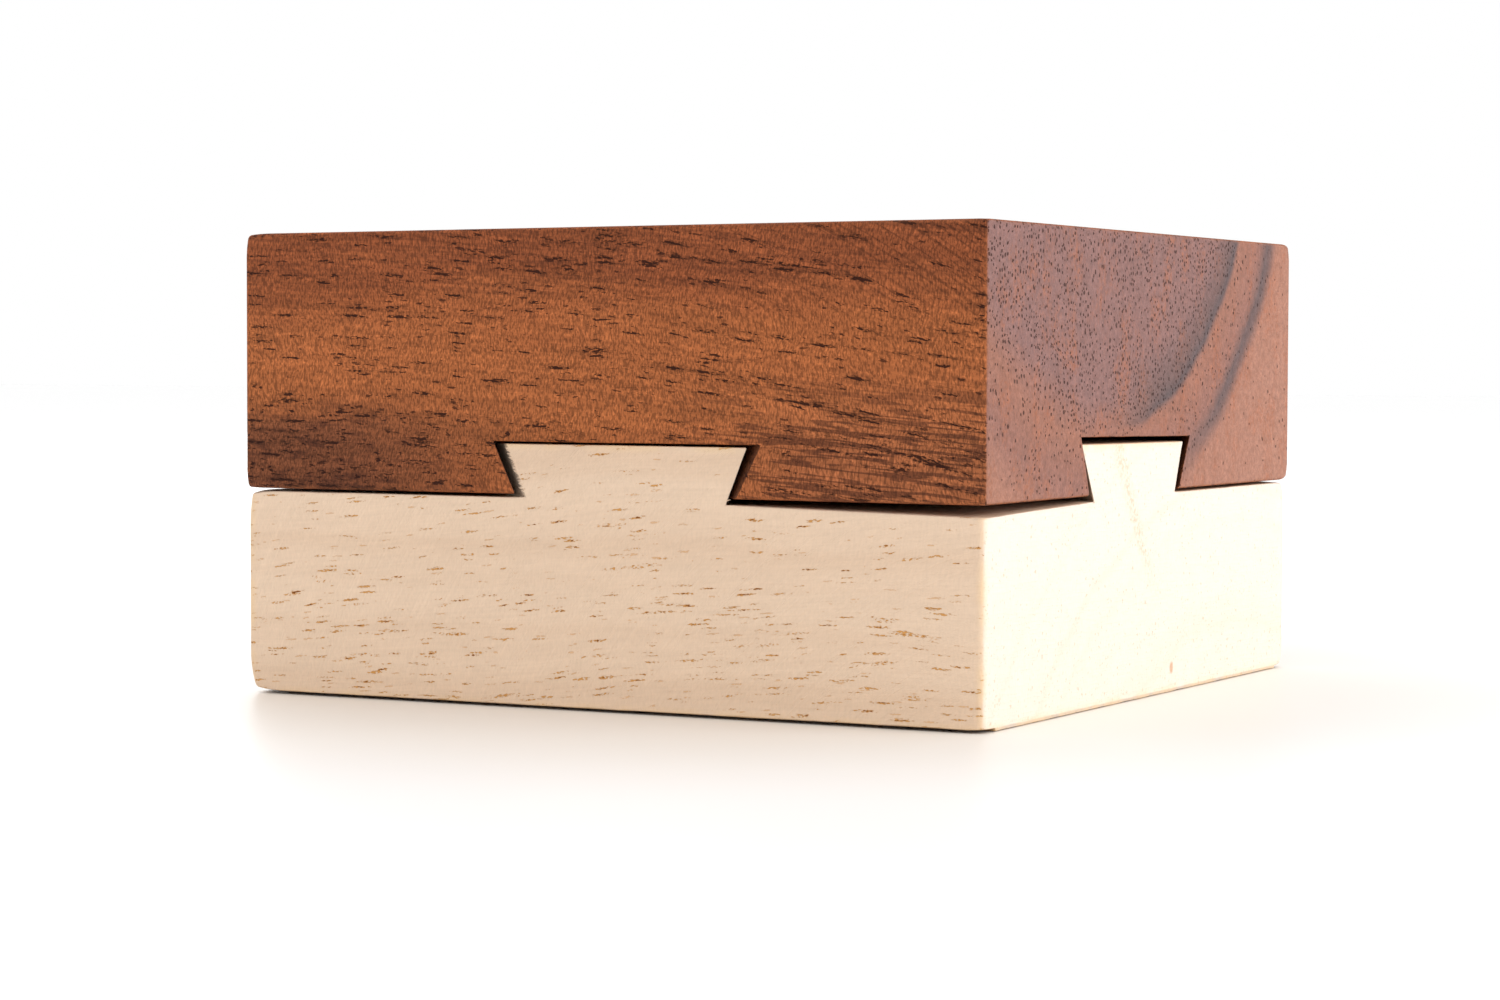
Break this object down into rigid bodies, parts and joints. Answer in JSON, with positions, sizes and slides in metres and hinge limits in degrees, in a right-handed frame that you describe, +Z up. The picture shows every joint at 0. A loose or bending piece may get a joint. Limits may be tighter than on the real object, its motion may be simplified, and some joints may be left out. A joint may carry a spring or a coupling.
{
  "type": "wooden puzzle box",
  "caption": "Square puzzle box cut from two solid wood blocks, with a dovetail showing on every side; the lid slides off along a diagonal.",
  "frame": {"origin": "middle of the box's outline, at the base's flat underside", "axes": "+Z up; +X and +Y along the box's sides, with the end grain of both blocks on the +X side; the lid slides along the diagonal +X -Y"},
  "size_m": [0.089, 0.089, 0.0508],
  "materials": {
    "pale_wood": "satin",
    "dark_wood": "satin",
    "pin_steel": "brushed"
  },
  "bodies": {
    "base": {"base_block": "pale_wood"},
    "lid": {"lid_block": "dark_wood"},
    "lid_pin": {"lid_lock_pin": "pin_steel"},
    "base_pin": {"base_lock_pin": "pin_steel"}
  },
  "joints": [
    {"name": "lid_slide", "type": "slide", "parent": "base", "child": "lid", "axis": [0.7071, -0.7071, 0], "range_m": [-0.098, 0.098]},
    {"name": "lid_pin_drop", "type": "slide", "parent": "lid", "child": "lid_pin", "axis": [0, 0, -1], "range_m": [0, 0.0055]},
    {"name": "base_pin_rise", "type": "slide", "parent": "base", "child": "base_pin", "axis": [0, 0, 1], "range_m": [0, 0.0055]}
  ]
}
